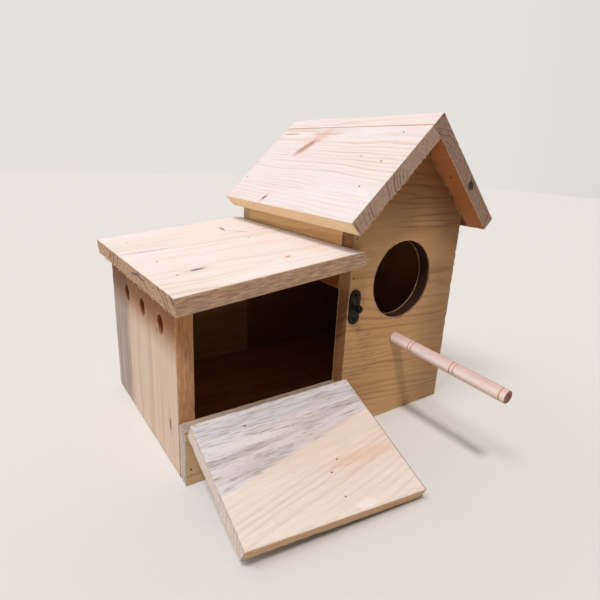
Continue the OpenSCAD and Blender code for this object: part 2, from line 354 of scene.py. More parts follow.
    # shallow marks and streaks: (u, v, half length, half width, turn, colour, strength)
    dent = None
    for mu, mv, ru, rv, turn, tone, strength in spec.get("marks", ()):
        d = oval(mu, mv, ru, rv, turn, g.sway(p, (0.5, 0.8, 0.8), 3.0, 1.1))
        mask = g.mul(g.smooth(d, 1.1, 0.55), strength)
        colour = g.mix(mask, colour, tone)
        dent = mask if dent is None else g.math("MAXIMUM", dent, mask)

    # the narrow long edges, where a board keeps a rougher sawn face
    normal = coords.outputs["Normal"]
    facing = [g.dot(normal, tuple(float(a) for a in axis)) for axis in axes]
    if "side" in spec:
        side = g.smooth(g.math("ABSOLUTE", facing[1]), 0.6, 0.85)
        lines = g.noise(p, (0.10, 1.1, 1.1), 3.0, 0.65)
        side_tone = g.mix(g.smooth(lines, 0.36, 0.62), spec["side_dark"], spec["side"])
        colour = g.mix(g.mul(side, spec.get("side_mix", 0.85)), colour, side_tone)

    # end grain: faces across the fibres show the rings as dark bars on a rough ground
    end = g.smooth(g.math("ABSOLUTE", facing[0]), 0.55, 0.85)
    pits = g.noise(p, (2.2, 2.2, 2.2), 3.0, 0.7)
    sawn = g.noise(p, (0.5, 0.35, 1.4), 3.0, 0.6)
    end_tone = g.mix(g.smooth(g.add(g.mul(pits, 0.5), g.mul(sawn, 0.5)), 0.36, 0.62),
                     spec.get("end_dark", (150, 122, 104)), spec.get("end", (198, 172, 150)))
    bars = g.smooth(late, 0.12, 0.65)
    if "bars_from" in spec:   # the rings show less below this height across the board
        bars = g.mul(bars, g.smooth(v, spec["bars_from"] - 12, spec["bars_from"] + 12, 0.2, 1.0))
    end_tone = g.mix(g.mul(bars, spec.get("end_rings", 0.8)), end_tone, spec.get("end_late", (96, 70, 62)))
    # spots on the end grain: (v, w, half across, half through, tone); the front wall's is painted light
    for mv, mw, rv, rw, tone in spec.get("end_marks", ()):
        a, b = g.mul(g.add(v, -mv), 1 / rv), g.mul(g.add(w, -mw), 1 / rw)
        d = g.add(g.length(a, b), g.mul(g.add(pits, -0.5), 0.8))
        end_tone = g.mix(g.smooth(d, 1.1, 0.6), end_tone, tone)
    colour = g.mix(end, colour, end_tone)

    # worn arrises
    patchy_wear = g.smooth(g.noise(p, (0.25, 0.25, 0.25), 2.0), 0.35, 0.62, 0.15, 1.0)
    worn = g.mul(g.smooth(g.attribute("edge_mm"), 1.6, 0.1), patchy_wear)
    colour = g.mix(g.mul(worn, 0.5), colour, (214, 186, 150))

    # painted shade: faces turned into the rooms are toned darker, as the rooms lie in shade
    if spec.get("inside"):
        inner = g.smooth(g.mul(facing[2], -1.0), 0.4, 0.8)
        if "open_from" in spec:   # an overhang's underside beyond these places is outside
            lo, hi = spec["open_from"]
            # painted shade: an overhang's whole underside is toned darker and more orange; the part inside the
            # rooms darker still
            colour = g.mix(inner, colour, spec.get("under", (236, 190, 140)), "MULTIPLY")
            inner = g.mul(inner, g.smooth(u, lo - 1.5, lo + 1.5), g.smooth(u, hi + 1.5, hi - 1.5))
        colour = g.mix(inner, colour, spec.get("inner_shade_tone", (160, 118, 82)), "MULTIPLY")

    # turned grooves cross the grain as dark lines
    for place_u, half in spec.get("grooves", ()):
        line = g.smooth(g.math("ABSOLUTE", g.add(u, -place_u)), half, half * 0.4)
        colour = g.mix(line, colour, spec["groove_tone"])

    # painted shade in drilled holes: (u, v, radius, tone), the hole's wall darker away from the outer face
    for bu, bv, br, tone in spec.get("bore_shade", ()):
        near = g.smooth(g.length(g.add(u, -bu), g.add(v, -bv)), br + 1.5, br + 1.0)
        wall = g.smooth(facing[2], 0.5, 0.2)
        rim = g.smooth(w, BOARD_MM - 2.6, BOARD_MM - 0.3, 1.0, 0.15)
        colour = g.mix(g.mul(near, wall, rim), colour, tone, "MULTIPLY")

    # the finest fibres, over everything
    colour = g.mix(g.smooth(fine, 0.25, 0.75), colour, g.mix(0.14, colour, (120, 84, 56)))

    roughness = g.add(0.58, g.mul(fine, 0.16), g.mul(late, -0.12), g.mul(end, 0.18))
    height = g.add(g.mul(late, 0.05), g.mul(fine, spec.get("fibre", 0.10)), g.mul(streak, 0.06),
                   g.mul(pores, -0.10), g.mul(end, pits, 0.5), g.mul(speck, 0.05))
    if dent is not None:
        height = g.add(height, g.mul(dent, -0.25))
    if knot_mask is not None:
        height = g.add(height, g.mul(knot_mask, 0.12))
    return g.finish(colour, roughness, height)


def board(node, body, axes, spec, step, rough=1.0, ragged=1.0):
    """A piece of timber made from a CAD board: the same outline with eased edges, cut into
    small facets whose points move inwards as wear, saw marks and ragged end grain. The step
    is the size of a facet in millimetres along the grain, across and through the board."""
    axes = [unit(a) for a in axes]
    coarse = 1.0
    bm, sharp, lines = clean_solid(node, 25)
    bmesh.ops.bevel(bm, geom=sharp, offset=ARRIS_MM * MM, segments=2, profile=0.5,
                    affect="EDGES", clamp_overlap=True)
    corners = np.array([list(v.co) for v in bm.verts])
    for axis, size in zip(axes, step):
        # on a board whose sides aren't parallel, the cuts turn gradually from one to the other
        last = np.array(facet_normal(node, axis)) if spec.get("fan") and axis is axes[1] else axis
        lo, hi = (corners @ axis).min(), (corners @ last).max()
        count = max(2, int(round((hi - lo) / (size * MM * coarse))))
        margin = EDGE_CUT_MM * MM / (hi - lo)
        for share in [i / count for i in range(1, count)] + [margin, 1 - margin]:
            way = axis + (last - axis) * share
            cut = (lo + (hi - lo) * share) / (way @ way)
            bmesh.ops.bisect_plane(bm, geom=bm.verts[:] + bm.edges[:] + bm.faces[:], dist=1e-7,
                                   plane_co=Vector(way * cut), plane_no=Vector(way))
    bmesh.ops.triangulate(bm, faces=bm.faces)
    mesh = bpy.data.meshes.new(node + "_wood")
    bm.to_mesh(mesh)
    bm.free()

    count = len(mesh.vertices)
    co, normal = np.zeros(count * 3), np.zeros(count * 3)
    mesh.vertices.foreach_get("co", co)
    mesh.vertex_normals.foreach_get("vector", normal)
    co, normal = co.reshape(-1, 3), normal.reshape(-1, 3)
    edge = distance_to_lines(co, lines) / MM
    local = np.stack([co @ a for a in axes], axis=1) / MM
    facing = np.stack([normal @ a for a in axes], axis=1)
    end = smoothstep(np.abs(facing[:, 0]), 0.5, 0.8)
    seed = sum(map(ord, node))
    inward = 0.05 * (1 + noise(local / (60, 30, 30), seed))
    inward += 0.03 * rough * (1 + noise(local / (9, 1.3, 1.3), seed + 1))
    inward += end * ragged * (0.16 * (1 + noise(local / 1.3, seed + 2))
                              + 0.14 * (1 + noise(local / 3.1, seed + 3)))
    nick = smoothstep(noise(local / (3.5, 3.5, 3.5), seed + 4), 0.35, 0.8)
    wear = np.exp(-edge / 0.9) * (0.10 + 0.5 * nick * ragged)
    if spec.get("tight"):   # no wear where the next board covers this one's first edge
        wear *= smoothstep(local[:, 1] - local[:, 1].min(), 3.0, 6.0)
    inward += wear
    co = co - normal * (inward * MM)[:, None]
    mesh.vertices.foreach_set("co", co.ravel())
    add_edge_distance(mesh, edge)
    mesh.shade_smooth()
    mesh.update()

    corner = (corners @ np.array(axes).T).min(0)
    piece = bpy.data.objects.new(node + "_wood", mesh)
    scene.collection.objects.link(piece)
    mesh.materials.append(pine("pine_" + node, axes, corner, spec))
    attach(piece, body)
    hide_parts(node)


# ------------------------------------------------------------------ camera
CAMERA_AT = (-0.21423, -0.32829, 0.21322)
SENSOR_MM, LENS_MM = 36.0, 27.32

camera = bpy.data.objects.new("camera", bpy.data.cameras.new("camera"))
scene.collection.objects.link(camera)
camera.data.sensor_width = SENSOR_MM
camera.data.lens = LENS_MM
camera.data.clip_start = 0.01
look = unit((0.5534, 0.7768, -0.3005))
right = unit((0.8224, -0.5668, 0.0492))
up = np.cross(right, look)
camera.matrix_world = Matrix([[right[i], up[i], -look[i], CAMERA_AT[i]] for i in range(3)] + [[0, 0, 0, 1]])
scene.camera = camera

# ------------------------------------------------------------------ the boards
# Each board's axes are its grain, its width and its outward side. Colours are sRGB.
left_out = facet_normal("roof_slab_left", (-0.7, 0, 0.7))
right_out = facet_normal("roof_slab_right", (0.7, 0, 0.7))
low_out = facet_normal("box_roof", Z)
door_out = facet_normal("door_panel", (0, -0.4, 0.9))
low_along = np.cross(Y, low_out)                              # down the low roof's slope
low_plane = float(np.max(points_of("box_roof") @ low_out))    # its upper face

board("roof_slab_left", "nest_box", (Y, np.cross(left_out, Y), left_out), {
    "pale": (228, 220, 220), "tint": (226, 215, 210), "late": (204, 175, 154), "contrast": 0.65,
    "pith": (4, -14), "slope": 0.03, "ring": 3.2, "wave": 16.0, "ripple": 4.0,
    "knots": [(123.5, 88.9, 3.4, 1.3, 1.1, 0.9)],
    "marks": [(126, 15, 26, 7.0, 0.12, (228, 198, 184), 0.6), (119, 12, 14, 8.0, 0.92, (218, 180, 166), 0.65),
              (129, 26.5, 15, 6.2, 0.92, (196, 150, 140), 0.75), (129, 26, 12, 2.6, 0.92, (164, 114, 106), 0.7),
              (172, 8.4, 17, 1.0, 0.0, (168, 118, 108), 0.75),
              (114, 8.8, 26, 1.3, 0.02, (206, 166, 150), 0.7), (46.9, 34.1, 2.0, 1.0, 0.0, (210, 174, 156), 0.7)],
    # partly painted light: the eave's sawn edge is toned brighter and more orange than the wood alone, for the
    # light it catches
    "side": (255, 224, 172), "side_dark": (250, 212, 156), "side_mix": 0.8, "tight": True, "bars_from": 44.0,
    "end": (202, 174, 154), "end_dark": (162, 132, 114), "end_late": (92, 62, 56), "end_rings": 0.85,
    "inside": True, "open_from": (17.0, 184.0), "under": (220, 160, 104),
}, step=(2.5, 1.1, 1.4), ragged=1.3)
board("roof_slab_right", "nest_box", (Y, np.cross(Y, right_out), right_out), {
    "pale": (229, 219, 217), "tint": (227, 213, 206), "late": (204, 173, 150), "contrast": 0.65,
    "marks": [(9.0, 52.0, 0.9, 0.9, 0.0, (70, 44, 34), 0.9)],
    "pith": (30, -20), "slope": -0.04, "ring": 3.4, "wave": 18.0, "ripple": 5.0, "shift": (310.0, 40.0, 7.0),
    "end": (178, 150, 130), "end_dark": (130, 102, 86), "end_late": (88, 60, 52), "end_rings": 0.8,
    "end_marks": [(66.4, 6.6, 4.5, 4.0, (62, 48, 46))],
    "inside": True, "open_from": (17.0, 184.0), "under": (206, 138, 82), "tight": True,
}, step=(2.5, 1.1, 1.4), ragged=1.3)
board("box_roof", "nest_box", (np.cross(Y, low_out), Y, low_out), {
    "pale": (232, 222, 218), "tint": (230, 217, 208), "late": (212, 182, 156), "contrast": 0.75,
    "pith": (70, -50), "slope": 0.12, "ring": 6.0, "wave": 30.0, "ripple": 6.0, "shift": (40.0, 90.0, 30.0),
    "knots": [(32.5, 43.0, 5.6, 2.3, 0.1, 0.85)], "knot": (156, 144, 150), "knot_dark": (88, 78, 92),
    "halo": (226, 204, 192),
    "marks": [(19, 114.5, 21, 0.7, -0.13, (128, 92, 74), 0.9), (99.0, 146, 10, 1.5, 1.4, (120, 98, 92), 0.8),
              (106, 124, 12, 1.1, -1.0, (176, 150, 138), 0.7), (62, 106, 26, 0.8, -0.1, (214, 186, 164), 0.6),
              (92.5, 27.0, 4.0, 1.4, 0.2, (188, 140, 50), 0.9)],
    "side": (194, 150, 112), "side_dark": (132, 94, 66), "end": (216, 180, 150), "end_dark": (162, 122, 92),
    "inside": True, "open_from": (9.5, 200.0),
}, step=(2.5, 1.4, 1.4), rough=1.6, ragged=1.4)
board("front_wall", "nest_box", (X, Z, FRONT), {
    # partly the board's own warmer, darker pine, partly painted shade: pushed warmer and darker for the warm shade
    # on the front
    "pale": (214, 172, 122), "tint": (204, 160, 110), "late": (160, 104, 62), "contrast": 0.7,
    "pith": (150, -40), "slope": 0.08, "ring": 4.4, "wave": 26.0, "ripple": 6.0, "shift": (11.0, 320.0, 3.0),
    "end": (182, 128, 84), "end_dark": (146, 98, 62), "end_late": (104, 64, 42), "end_rings": 0.5,
    # painted light: a paler patch on the upper end grain, where the wall's end stands lit above the low roof
    "end_marks": [(133, 6, 17, 12, (206, 154, 106))],
    # painted shade: darker towards the gable's peak under the roof's overhang, and towards the right edge
    "painted_shade_and_weathering": [(1, 135, 208, (168, 136, 108), 0), (0, 62, 112, (204, 196, 194), 0)],
    "marks": [(78, 187.0, 40, 0.9, 0.01, (112, 70, 40), 0.45), (82, 179.6, 38, 0.8, 0.01, (112, 70, 40), 0.4),
              (84, 173.6, 38, 1.0, 0.03, (108, 66, 38), 0.5), (80, 168.8, 40, 0.8, -0.01, (112, 70, 40), 0.45),
              (80, 164.2, 40, 0.9, -0.03, (108, 66, 38), 0.45), (70, 197.0, 30, 0.8, 0.0, (114, 72, 42), 0.4)],
    "torn": [(16, 66, 22, 24, 0.6)], "inside": True, "bore_shade": [(57, 122, 32, (60, 34, 22))],
}, step=(2.0, 2.0, 3.0))
board("back_wall", "nest_box", (X, Z, Y), {
    "pale": (226, 200, 170), "tint": (218, 187, 152), "late": (190, 146, 108), "contrast": 0.7,
    "pith": (130, -60), "slope": -0.06, "ring": 5.0, "wave": 20.0, "ripple": 5.0, "shift": (71.0, 20.0, 3.0),
    "end": (238, 206, 170), "end_dark": (222, 186, 148), "end_late": (190, 150, 112), "end_rings": 0.5,
    "inside": True,
}, step=(2.5, 2.5, 3.0))
board("right_wall", "nest_box", (Z, Y, X), {
    "pale": (228, 202, 172), "tint": (220, 188, 152), "late": (192, 148, 108), "contrast": 0.7,
    "pith": (60, -45), "slope": 0.05, "ring": 4.6, "wave": 20.0, "ripple": 4.0, "shift": (151.0, 220.0, 9.0),
    "inside": True,
}, step=(2.5, 2.5, 3.0))
board("upper_left_wall", "nest_box", (Y, Z, LEFT), {
    # partly painted light: the pine is pushed brighter and more orange for the warm light bounced up from the low
    # roof
    "pale": (255, 214, 150), "tint": (252, 208, 142), "late": (224, 160, 98), "contrast": 0.7,
    # painted shade: darker at the foot, where the low roof meets the wall and below it
    "painted_shade_and_weathering": [(1, 21, 18, (160, 108, 70), 0)],
    "marks": [(50.4, 31.6, 3.2, 1.0, 0.3, (96, 58, 40), 0.9)],
    "pith": (20, -40), "slope": 0.04, "ring": 4.4, "wave": 16.0, "ripple": 4.0, "shift": (15.0, 120.0, 90.0),
    "inside": True,
}, step=(2.5, 2.0, 3.0))
board("floor_board", "nest_box", (X, Y, DOWN), {
    "pale": (220, 186, 142), "tint": (208, 168, 122), "late": (170, 122, 80), "contrast": 0.7,
    "pith": (70, -45), "slope": 0.05, "ring": 4.6, "wave": 20.0, "ripple": 4.0, "shift": (15.0, 420.0, 90.0),
    "inside": True, "inner_shade_tone": (224, 180, 156),
}, step=(3.0, 3.0, 4.0))
board("box_left_wall", "nest_box", (Z, Y, LEFT), {
    "pale": (218, 196, 178), "tint": (213, 185, 160), "late": (192, 154, 124), "contrast": 0.55,
    "pith": (70, -60), "slope": 0.02, "ring": 5.0, "wave": 9.0, "ripple": 3.0, "shift": (415.0, 20.0, 60.0),
    # the grey stain is the board's own; the darkening near the top is painted shadow under the roof's overhang
    "stains": [(132, 26, 0.0, (168, 172, 186), 0.9)], "painted_shade_and_weathering": [(0, 78, 109, (178, 126, 76), 0)],
    "knots": [(33.0, 15.5, 5.0, 1.5, 0.1, 0.75)],
    "marks": [(94.6, 36.5, 2.6, 1.1, 0.2, (120, 76, 48), 0.9)],
    "bore_shade": [(101.5, 29.5, 7, (190, 130, 82)), (101.5, 70, 7, (190, 130, 82)), (101.5, 110.5, 7, (150, 110, 80))],
    "side": (208, 154, 102), "side_dark": (170, 116, 70), "inside": True, "inner_shade_tone": (224, 180, 156),
}, step=(2.0, 1.6, 2.0))
board("box_back_wall", "nest_box", (X, Z, Y), {
    "pale": (224, 197, 166), "tint": (215, 183, 148), "late": (186, 142, 104), "contrast": 0.7,
    "pith": (60, -45), "slope": 0.05, "ring": 4.6, "wave": 20.0, "ripple": 4.0, "shift": (15.0, 20.0, 190.0),
    "inside": True, "inner_shade_tone": (224, 180, 156),
}, step=(2.5, 2.5, 3.0))
board("front_sill", "nest_box", (X, Z, FRONT), {
    "pale": (210, 176, 134), "tint": (196, 158, 114), "late": (160, 112, 72), "contrast": 0.7,
    "pith": (20, -35), "slope": 0.03, "ring": 3.6, "wave": 10.0, "ripple": 3.0, "shift": (5.0, 20.0, 290.0),
    # painted shade: the sill darkens towards its right, in the open door's shadow
    "side": (172, 162, 150), "side_dark": (138, 128, 118), "painted_shade_and_weathering": [(0, 22, 60, (214, 200, 188), 0)],
    "end": (214, 202, 188), "end_dark": (176, 160, 144), "end_late": (150, 130, 112), "inside": True,
}, step=(2.0, 1.4, 1.6), rough=2.0)
board("door_panel", "door", (X, np.cross(X, door_out), door_out), {
    "pale": (229, 217, 207), "tint": (226, 206, 190), "late": (204, 168, 144), "contrast": 0.42,
    "pith": (-30, -50), "slope": 0.16, "ring": 4.0, "wave": 12.0, "ripple": 4.0, "shift": (105.0, 620.0, 20.0),
    "stains": [(8, 5, 0.02, (220, 222, 230), 0.5), (31, 3, -0.1, (206, 204, 208), 0.6)],
    "painted_shade_and_weathering": [(1, 52.0, 48.5, (240, 249, 264), -0.17)],
    "marks": [(34, 23, 38, 3.6, 0.07, (228, 222, 218), 0.55), (34, 39, 28, 4.8, -0.09, (168, 160, 166), 0.34),
              (100, 59, 30, 4.6, 0.04, (222, 180, 156), 0.42), (81, 86.5, 9, 2.8, 0.18, (246, 244, 244), 0.42),
              (71.3, 61.3, 0.9, 0.8, 0.0, (120, 72, 60), 0.9), (70.8, 77.8, 0.8, 0.7, 0.0, (126, 80, 66), 0.9),
              (80.0, 54.7, 0.8, 0.7, 0.0, (126, 80, 66), 0.9), (33.0, 12.0, 1.6, 0.8, 0.3, (96, 72, 60), 0.85)],
    "torn": [(50, 24, 110, 40, 0.65)], "torn_tone": (130, 108, 84), "fan": True,
    "end": (240, 228, 218), "end_dark": (212, 194, 182), "end_late": (176, 152, 138), "end_rings": 0.5,
    "side": (226, 184, 138), "side_dark": (190, 142, 98),
}, step=(2.0, 1.1, 1.4), rough=2.0)

# ------------------------------------------------------------------ perch
PERCH_RINGS_MM = (20.2, 61.2)    # each pair of cut rings, from the front wall outwards
RING_HALF_MM = 1.6               # half the distance between the rings of a pair
SOCKET_MM = 8.0                  # how deep the perch is set into the wall
TIP_RING_MM = 4.5                # the single ring, in from the tip
rng = np.random.default_rng(7)


def add_piece(name, mesh, material, body="nest_box", replaced=()):
    """A finished mesh as a visible piece that moves with its body."""
    mesh.materials.append(material)
    mesh.shade_smooth()
    made = bpy.data.objects.new(name, mesh)
    scene.collection.objects.link(made)
    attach(made, body)
    if replaced:
        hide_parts(*replaced)


def turned_perch():
    """A stick turned on a lathe: eased tip, cut rings, and a surface that follows its fibres."""
    points = points_of("perch")
    centre = points.mean(0)
    axis = np.linalg.svd(points - centre, full_matrices=False)[2][0]
    axis *= -np.sign(axis[1])
    along = (points - centre) @ axis
    lo, hi = along.min(), along.max()
    hi -= 0.05 * MM   # the sawn tip stays just inside the CAD solid
    middle = centre + axis * (lo + hi) / 2
    off = points - middle - np.outer((points - middle) @ axis, axis)
    radius = np.linalg.norm(off, axis=1).max()
    side = unit(np.cross(axis, Z))
    top = np.cross(side, axis)
    length = hi - lo
    start = middle - axis * length / 2
    grooves = [SOCKET_MM + at + half for at in PERCH_RINGS_MM for half in (-RING_HALF_MM, RING_HALF_MM)]
    grooves.append(length / MM - TIP_RING_MM)
    stations = sorted(set(np.round(np.concatenate(
        [np.arange(0, length / MM, 1.2), [length / MM - d for d in (0.0, 0.08, 0.25, 0.5, 0.8)]]
        + [np.arange(g - 1.2, g + 1.21, 0.2) for g in grooves]), 3)))
    ring = 56
    rows, rim = [], np.linspace(0, 2 * math.pi, ring, endpoint=False)
    for t in stations:
        cut = sum(0.5 * math.exp(-((t - g) / 0.48) ** 2) for g in grooves)
        ease = max(0.0, 0.8 - (length / MM - t)) ** 2 * 0.9
        local = np.stack([np.full(ring, t / 14), np.cos(rim) * 3.2, np.sin(rim) * 3.2], 1)
        r = radius / MM - 0.02 - cut - ease
        r = r - 0.05 * (1 + noise(local, 3)) - 0.03 * (1 + noise(local * (14, 2, 2), 4))
        rows.append([start + axis * t * MM + (side * math.cos(a) + top * math.sin(a)) * q * MM
                     for a, q in zip(rim, r)])
    for share in (0.75, 0.45, 0.18):   # the sawn tip
        face = rows[len(stations) - 1]
        mid = sum(face) / ring
        spots = np.array([[math.cos(a) * 5 * share, math.sin(a) * 5 * share, 1.0] for a in rim])
        dip = -0.10 * (1 + noise(spots, 5))
        rows.append([mid + (q - mid) * share + axis * d * MM for q, d in zip(face, dip)])
    verts = [tuple(q) for row in rows for q in row] + [tuple(start), tuple(sum(rows[-1]) / ring)]
    faces = [(i * ring + j, i * ring + (j + 1) % ring, (i + 1) * ring + (j + 1) % ring, (i + 1) * ring + j)
             for i in range(len(rows) - 1) for j in range(ring)]
    last = (len(rows) - 1) * ring
    faces += [((j + 1) % ring, j, len(verts) - 2) for j in range(ring)]
    faces += [(last + j, last + (j + 1) % ring, len(verts) - 1) for j in range(ring)]
    mesh = bpy.data.meshes.new("perch_turned")
    mesh.from_pydata(verts, [], faces)
    bm = bmesh.new()
    bm.from_mesh(mesh)
    bmesh.ops.recalc_face_normals(bm, faces=bm.faces)
    bm.to_mesh(mesh)
    bm.free()
    add_edge_distance(mesh, np.full(len(mesh.vertices), 50.0))   # too far off to look worn
    axes = [axis, side, top]
    corner = [float(start @ axis), float(start @ side), float(start @ top)]
    stick = pine("pine_perch", axes, corner, {
        "pale": (244, 231, 226), "tint": (238, 214, 203), "late": (216, 177, 161), "contrast": 0.7,
        "pith": (9, -7), "slope": 0.01, "ring": 1.7, "wave": 3.0, "ripple": 1.0, "pores": 0.3,
        "end": (178, 132, 110), "end_dark": (124, 84, 70), "end_late": (84, 52, 42),
        "grooves": [(g, 0.6) for g in grooves], "groove_tone": (200, 142, 114), "fibre": 0.06,
        # painted shade: the stick's top is toned darker and its underside darker and more orange
        "painted_shade_and_weathering": [(2, 1.0, 4.6, (222, 208, 206), 0), (2, -1.5, -4.4, (236, 184, 138), 0)],
    })
    add_piece("perch_turned", mesh, stick, replaced=("perch",))


turned_perch()


# ------------------------------------------------------------------ metal
def metal(name, dark, light, metallic=0.75):
    """Dark patinated metal, brighter and smoother where its edges have rubbed."""
    g = Graph(name)
    place = g.node("ShaderNodeTexCoord").outputs["Object"]
    cloud = g.noise(place, (420, 420, 420), 4.0, 0.6)
    grit = g.noise(place, (2600, 2600, 2600), 2.0, 0.6)
    rub = g.mul(g.smooth(g.attribute("edge_mm"), 0.5, 0.05), g.smooth(cloud, 0.35, 0.6, 0.2, 1.0))
    colour = g.mix(g.smooth(cloud, 0.4, 0.75), dark, tuple(min(255, int(c * 1.35)) for c in dark))
    colour = g.mix(g.mul(rub, 0.45), colour, light)
    rough = g.add(0.34, g.mul(cloud, 0.3), g.mul(rub, -0.12))
    height = g.add(g.mul(grit, 0.03), g.mul(cloud, 0.05))
    return g.finish(colour, rough, height, specular=0.22, metallic=metallic)


bronze = metal("antique_bronze", (8, 8, 7), (46, 38, 30), 0.3)
steel = metal("brad_steel", (58, 50, 46), (120, 108, 98))


METAL_EDGE_MM = 0.16                 # how far a fitting's edges are eased
SLOT_HALF_MM = (1.15, 0.2, 0.5)      # a screw slot's half length, half width and depth


def fitting(node, body, slits=None):
    """A metal fitting from its CAD solid, with eased edges or, on a screw, a cross slot."""
    bm, sharp, lines = clean_solid(node, 35)
    if slits is None:
        bmesh.ops.bevel(bm, geom=sharp, offset=METAL_EDGE_MM * MM, segments=2, profile=0.5,
                        affect="EDGES", clamp_overlap=True)
    mesh = bpy.data.meshes.new(node + "_metal")
    bm.to_mesh(mesh)
    bm.free()
    if slits is not None:
        outward, turn = slits
        points = points_of(node)
        reach = points @ outward
        centre = points[reach > reach.max() - 1.0 * MM].mean(0)   # of the head
        centre += outward * (reach.max() - centre @ outward)
        side = unit(np.cross(outward, X)) if abs(outward[0]) < 0.5 else np.array(Y, float)
        side = side * math.cos(turn) + np.cross(outward, side) * math.sin(turn)
        body_mesh = bpy.data.objects.new("screw_work", mesh)
        scene.collection.objects.link(body_mesh)
        cutters = []
        for long_axis in (side, np.cross(outward, side)):
            other = np.cross(outward, long_axis)
            half = [h * MM for h in SLOT_HALF_MM]
            corners = [centre + long_axis * half[0] * i + other * half[1] * j + outward * half[2] * k
                       for i in (-1, 1) for j in (-1, 1) for k in (-1, 1)]
            tool_mesh = bpy.data.meshes.new("slit")
            tool_mesh.from_pydata([tuple(q) for q in corners], [], [
                (0, 1, 3, 2), (4, 6, 7, 5), (0, 4, 5, 1), (2, 3, 7, 6), (0, 2, 6, 4), (1, 5, 7, 3)])
            fix = bmesh.new()
            fix.from_mesh(tool_mesh)
            bmesh.ops.recalc_face_normals(fix, faces=fix.faces)
            fix.to_mesh(tool_mesh)
            fix.free()
            tool = bpy.data.objects.new("slit", tool_mesh)
            scene.collection.objects.link(tool)
            cutters.append(tool)
            cut = body_mesh.modifiers.new("slit", "BOOLEAN")
            cut.operation, cut.solver, cut.object = "DIFFERENCE", "EXACT", tool
        bpy.context.view_layer.update()
        depsgraph = bpy.context.evaluated_depsgraph_get()
        mesh = bpy.data.meshes.new_from_object(body_mesh.evaluated_get(depsgraph))
        mesh.name = node + "_metal"
        for spare in cutters + [body_mesh]:
            bpy.data.objects.remove(spare)
    co = np.array([list(v.co) for v in mesh.vertices])
    add_edge_distance(mesh, distance_to_lines(co, lines) / MM)
    add_piece(node + "_metal", mesh, bronze, body, (node,))
    mesh.set_sharp_from_angle(angle=math.radians(35))


for node in sorted(nodes):
    if node.startswith("hinge_") or node.startswith("catch_"):
        on_door = "_door_" in node
        outward = -door_out if on_door else np.array(FRONT, float)
        slits = (outward, 0.4 + 0.7 * (sum(map(ord, node)) % 5)) if "screw" in node else None
        fitting(node, "door" if on_door else "nest_box", slits)


# ------------------------------------------------------------------ brads and splinters
GABLE_BRADS = ((20.1, 6.5), (50.5, 4.3), (76.1, 4.9), (80.4, 164.9))     # down from the ridge, back
LOW_ROOF_BRADS = ((7.7, 143.5), (8.4, 67.7), (8.4, 27.3), (90.9, 85.7))   # right, back
FRONT_BRADS = ((133.1, 158.4), (132.8, 128.6), (245.5, 17.0), (223.0, 5.5),
               (3.5, 12.0), (246.0, 176.0))                               # right, up
HEAD_RADIUS_MM, HEAD_RISE_MM, HEAD_SINK_MM = 0.75, 0.12, 0.05
DISC_SIDES = 12


def row(x, y, z):
    """A point given from the side box's lower front left corner in millimetres, in the row frame."""
    low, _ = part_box("front_sill")
    return np.array([low.x + x * MM, low.y + y * MM, low.z + z * MM])


def spikes(name, slivers, material, sides=5):
    """Many small tapered slivers in one mesh: (base, tip, base radius, tip radius)."""
    verts, faces = [], []
    for base, tip, wide, thin in slivers:
        line = unit(tip - base)
        a = unit(np.cross(line, (0.31, 0.52, 0.79)))
        b = np.cross(line, a)
        first = len(verts)
        for at, r in ((base, wide), ((base + tip) / 2, wide * 0.7 + thin * 0.3), (tip, thin)):
            for k in range(sides):
                turn = 2 * math.pi * k / sides
                verts.append(tuple(at + (a * math.cos(turn) + b * 0.6 * math.sin(turn)) * r))
        for ring in range(2):
            for k in range(sides):
                i, j = first + ring * sides + k, first + ring * sides + (k + 1) % sides
                faces.append((i, j, j + sides, i + sides))
        faces.append(tuple(first + k for k in reversed(range(sides))))
        faces.append(tuple(first + 2 * sides + k for k in range(sides)))
    mesh = bpy.data.meshes.new(name)
    mesh.from_pydata(verts, [], faces)
    add_piece(name, mesh, material)


def disc(at, out, radius, rise):
    """One nail head as a low dome: rings of points round `at`, closed below."""
    a = unit(np.cross(out, (0.37, 0.81, 0.45)))
    b = np.cross(out, a)
    n = DISC_SIDES
    rings = [(1.0, -0.6), (1.0, 0.0), (0.82, 0.6), (0.45, 0.9)]   # shares of radius and rise
    verts = [tuple(at + (a * math.cos(t) + b * math.sin(t)) * radius * r + out * rise * h)
             for r, h in rings for t in np.linspace(0, 2 * math.pi, n, endpoint=False)]
    verts.append(tuple(at + out * rise))
    faces = [(i * n + j, i * n + (j + 1) % n, (i + 1) * n + (j + 1) % n, (i + 1) * n + j)
             for i in range(len(rings) - 1) for j in range(n)]
    last = (len(rings) - 1) * n
    faces += [(last + j, last + (j + 1) % n, len(verts) - 1) for j in range(n)]
    faces.append(tuple(reversed(range(n))))
    return verts, faces


def on_low_roof(at):
    """Raises or lowers a point onto the low roof's upper face."""
    at[2] += (low_plane - at @ low_out) / low_out[2]
    return at


wall_lo, wall_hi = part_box("front_wall")
ridge_x, ridge_z = wall_lo.x + (wall_hi.x - wall_lo.x) / 2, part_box("roof_slab_right")[1].z
down_left, down_right = np.cross(left_out, Y), np.cross(Y, right_out)
brads = [(np.array([ridge_x, wall_lo.y + y * MM, ridge_z]) + down_left * down * MM, left_out)
         for down, y in GABLE_BRADS]
brads += [(on_low_roof(row(x, y, 0)), low_out) for x, y in LOW_ROOF_BRADS]
brads += [(row(x, 0, z), np.array(FRONT, float)) for x, z in FRONT_BRADS]
head_verts, head_faces = [], []
for at, out in brads:
    verts, faces = disc(at - out * HEAD_SINK_MM * MM, out, HEAD_RADIUS_MM * MM, HEAD_RISE_MM * MM)
    head_faces += [tuple(i + len(head_verts) for i in f) for f in faces]
    head_verts += verts
head_mesh = bpy.data.meshes.new("brads")
head_mesh.from_pydata(head_verts, [], head_faces)
